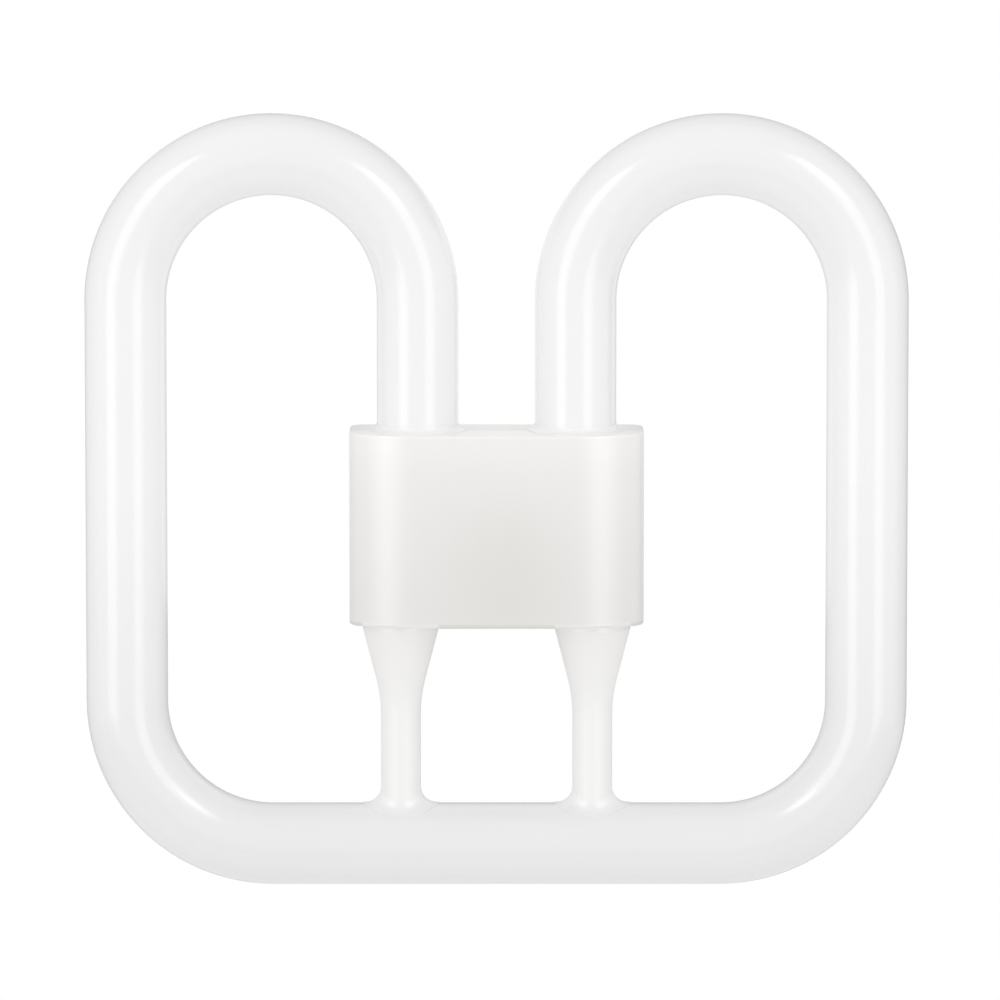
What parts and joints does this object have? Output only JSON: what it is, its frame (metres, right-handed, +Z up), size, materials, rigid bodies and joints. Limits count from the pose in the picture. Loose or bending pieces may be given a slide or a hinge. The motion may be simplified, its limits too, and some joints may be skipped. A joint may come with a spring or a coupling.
{
  "type": "butterfly led lamp",
  "caption": "White butterfly-shaped plug-in LED lamp: an opal tube bent into a double loop round a moulded housing, with support legs below and contact pins behind.",
  "frame": {"origin": "centre of the pin circle, on the seating face of the cap at the back of the housing", "axes": "+Z up with the arches at the top and the bottom limb below, +Y along the contact pins away from the lamp, so the front of the lamp faces -Y and +X is to the right"},
  "size_m": [0.141, 0.0303, 0.133],
  "materials": {
    "opal_diffuser": "glossy opal white",
    "white_housing": "satin moulded white",
    "leg_plastic": "smooth moulded white",
    "white_silicone": "smooth white silicone",
    "contact_metal": "nickel-plated",
    "strip_board": "white solder mask",
    "led_phosphor": "yellow phosphor",
    "board_laminate": "green laminate",
    "capacitor_can": "bare can",
    "choke_ferrite": "dark ferrite",
    "film_case": "moulded box",
    "resistor_coat": "flameproof coat",
    "black_epoxy": "moulded epoxy",
    "lead_insulation": "extruded insulation"
  },
  "bodies": {
    "root": {"diffuser_tube": "opal_diffuser", "housing_front": "white_housing", "housing_rear": "white_housing", "support_leg_left": "leg_plastic", "support_leg_right": "leg_plastic", "tube_seal_left": "white_silicone", "tube_seal_right": "white_silicone", "contact_pin_1": "contact_metal", "contact_pin_2": "contact_metal", "contact_pin_3": "contact_metal", "contact_pin_4": "contact_metal", "led_strip": "strip_board", "led_packages": "led_phosphor", "driver_board": "board_laminate", "smoothing_capacitor": "capacitor_can", "choke": "choke_ferrite", "input_capacitor": "film_case", "fusible_resistor": "resistor_coat", "rectifier": "black_epoxy", "driver_chip": "black_epoxy", "strip_leads_left": "lead_insulation", "strip_leads_right": "lead_insulation"}
  },
  "joints": []
}
